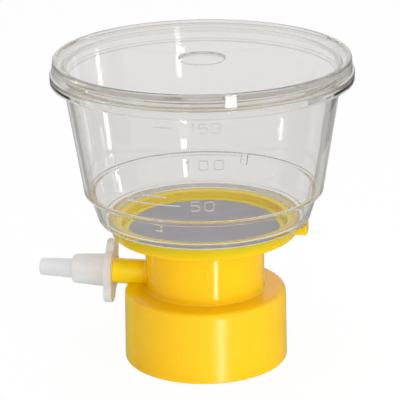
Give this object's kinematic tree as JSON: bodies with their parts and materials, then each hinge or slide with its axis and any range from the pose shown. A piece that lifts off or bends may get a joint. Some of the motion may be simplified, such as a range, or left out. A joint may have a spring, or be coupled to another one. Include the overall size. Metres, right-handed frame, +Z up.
{
  "type": "vacuum filtration unit",
  "caption": "Bottle-top vacuum filter: clear lidded funnel on a yellow base with a membrane, a screw skirt and a side arm with a winged hose adapter.",
  "frame": {"origin": "bottom centre of the overall box, level with the skirt's lower edge; the screw axis stands 3.4 mm from it towards +X, because the arm's adapter reaches further out than the rim", "axes": "+Z up along the screw axis from the skirt to the lid, -X along the vacuum arm towards the hose nozzle, +Y completes the right-handed frame"},
  "size_m": [0.096, 0.0892, 0.094],
  "materials": {
    "yellow_plastic": "moulded, satin gloss",
    "clear_plastic": "moulded, clear, polished",
    "milky_plastic": "moulded, translucent, natural",
    "filter_membrane": "matt, fine pored",
    "seal_rubber": "moulded, matt",
    "cotton": "loose fibre"
  },
  "bodies": {
    "unit": {"base": "yellow_plastic", "neck_gasket": "seal_rubber", "membrane": "filter_membrane", "funnel": "clear_plastic"},
    "lid": {"lid": "clear_plastic"},
    "adapter": {"hose_adapter": "milky_plastic", "cotton_plug": "cotton"}
  },
  "joints": [
    {"name": "lid_lift", "type": "slide", "parent": "unit", "child": "lid", "axis": [0, 0, 1], "range_m": [0, 0.03]},
    {"name": "adapter_pull", "type": "slide", "parent": "unit", "child": "adapter", "axis": [-1, 0, 0], "range_m": [0, 0.012]}
  ]
}
